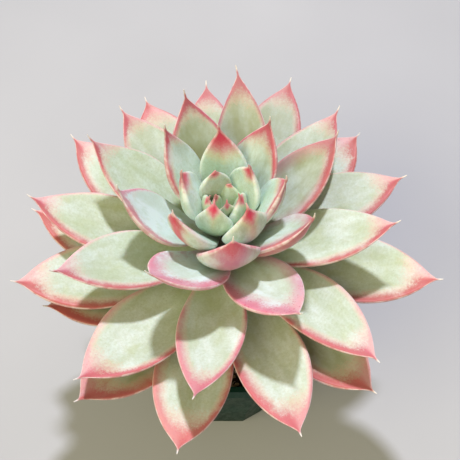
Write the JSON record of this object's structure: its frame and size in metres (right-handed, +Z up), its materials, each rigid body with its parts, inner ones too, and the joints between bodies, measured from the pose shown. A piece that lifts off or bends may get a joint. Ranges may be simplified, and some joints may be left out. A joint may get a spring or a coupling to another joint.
{
  "type": "potted echeveria lindsayana",
  "caption": "Echeveria lindsayana rosette of thick pointed pink-edged leaves on a short stem, in a small tapered twelve-sided green nursery pot.",
  "frame": {"origin": "middle of the pot's underside, on the surface that it stands on", "axes": "+Z up along the pot and the stem, +X to the right and +Y away from the viewer in the picture"},
  "size_m": [0.1524, 0.1529, 0.1515],
  "materials": {
    "pot_plastic": "dark green, satin, slightly scuffed",
    "soil": "dark gritty potting mix, matt",
    "stem": "fleshy green-brown stem with leaf scars, bud leaves mint green with crimson tips",
    "young_leaf": "bluish mint with a waxy bloom, crimson tips and pink edges",
    "old_leaf": "pale yellow-green, waxy, coral pink edges and red undersides"
  },
  "bodies": {
    "root": {"pot": "pot_plastic", "soil": "soil", "stem_and_bud": "stem", "leaf_06": "young_leaf", "leaf_07": "young_leaf", "leaf_08": "young_leaf", "leaf_09": "young_leaf", "leaf_10": "young_leaf", "leaf_11": "young_leaf", "leaf_12": "young_leaf", "leaf_13": "young_leaf", "leaf_14": "young_leaf", "leaf_15": "young_leaf", "leaf_16": "young_leaf", "leaf_17": "young_leaf", "leaf_18": "young_leaf", "leaf_19": "young_leaf", "leaf_20": "young_leaf", "leaf_21": "young_leaf", "leaf_22": "old_leaf", "leaf_23": "old_leaf", "leaf_24": "old_leaf", "leaf_25": "old_leaf", "leaf_26": "old_leaf", "leaf_27": "old_leaf", "leaf_28": "old_leaf", "leaf_29": "old_leaf", "leaf_30": "old_leaf", "leaf_31": "old_leaf", "leaf_32": "old_leaf", "leaf_33": "old_leaf", "leaf_34": "old_leaf", "leaf_35": "old_leaf", "leaf_36": "old_leaf", "leaf_37": "old_leaf", "leaf_38": "old_leaf", "leaf_39": "old_leaf", "leaf_40": "old_leaf", "leaf_41": "old_leaf", "leaf_42": "old_leaf", "leaf_43": "old_leaf", "leaf_44": "old_leaf", "leaf_45": "old_leaf", "leaf_50": "old_leaf"}
  },
  "joints": []
}
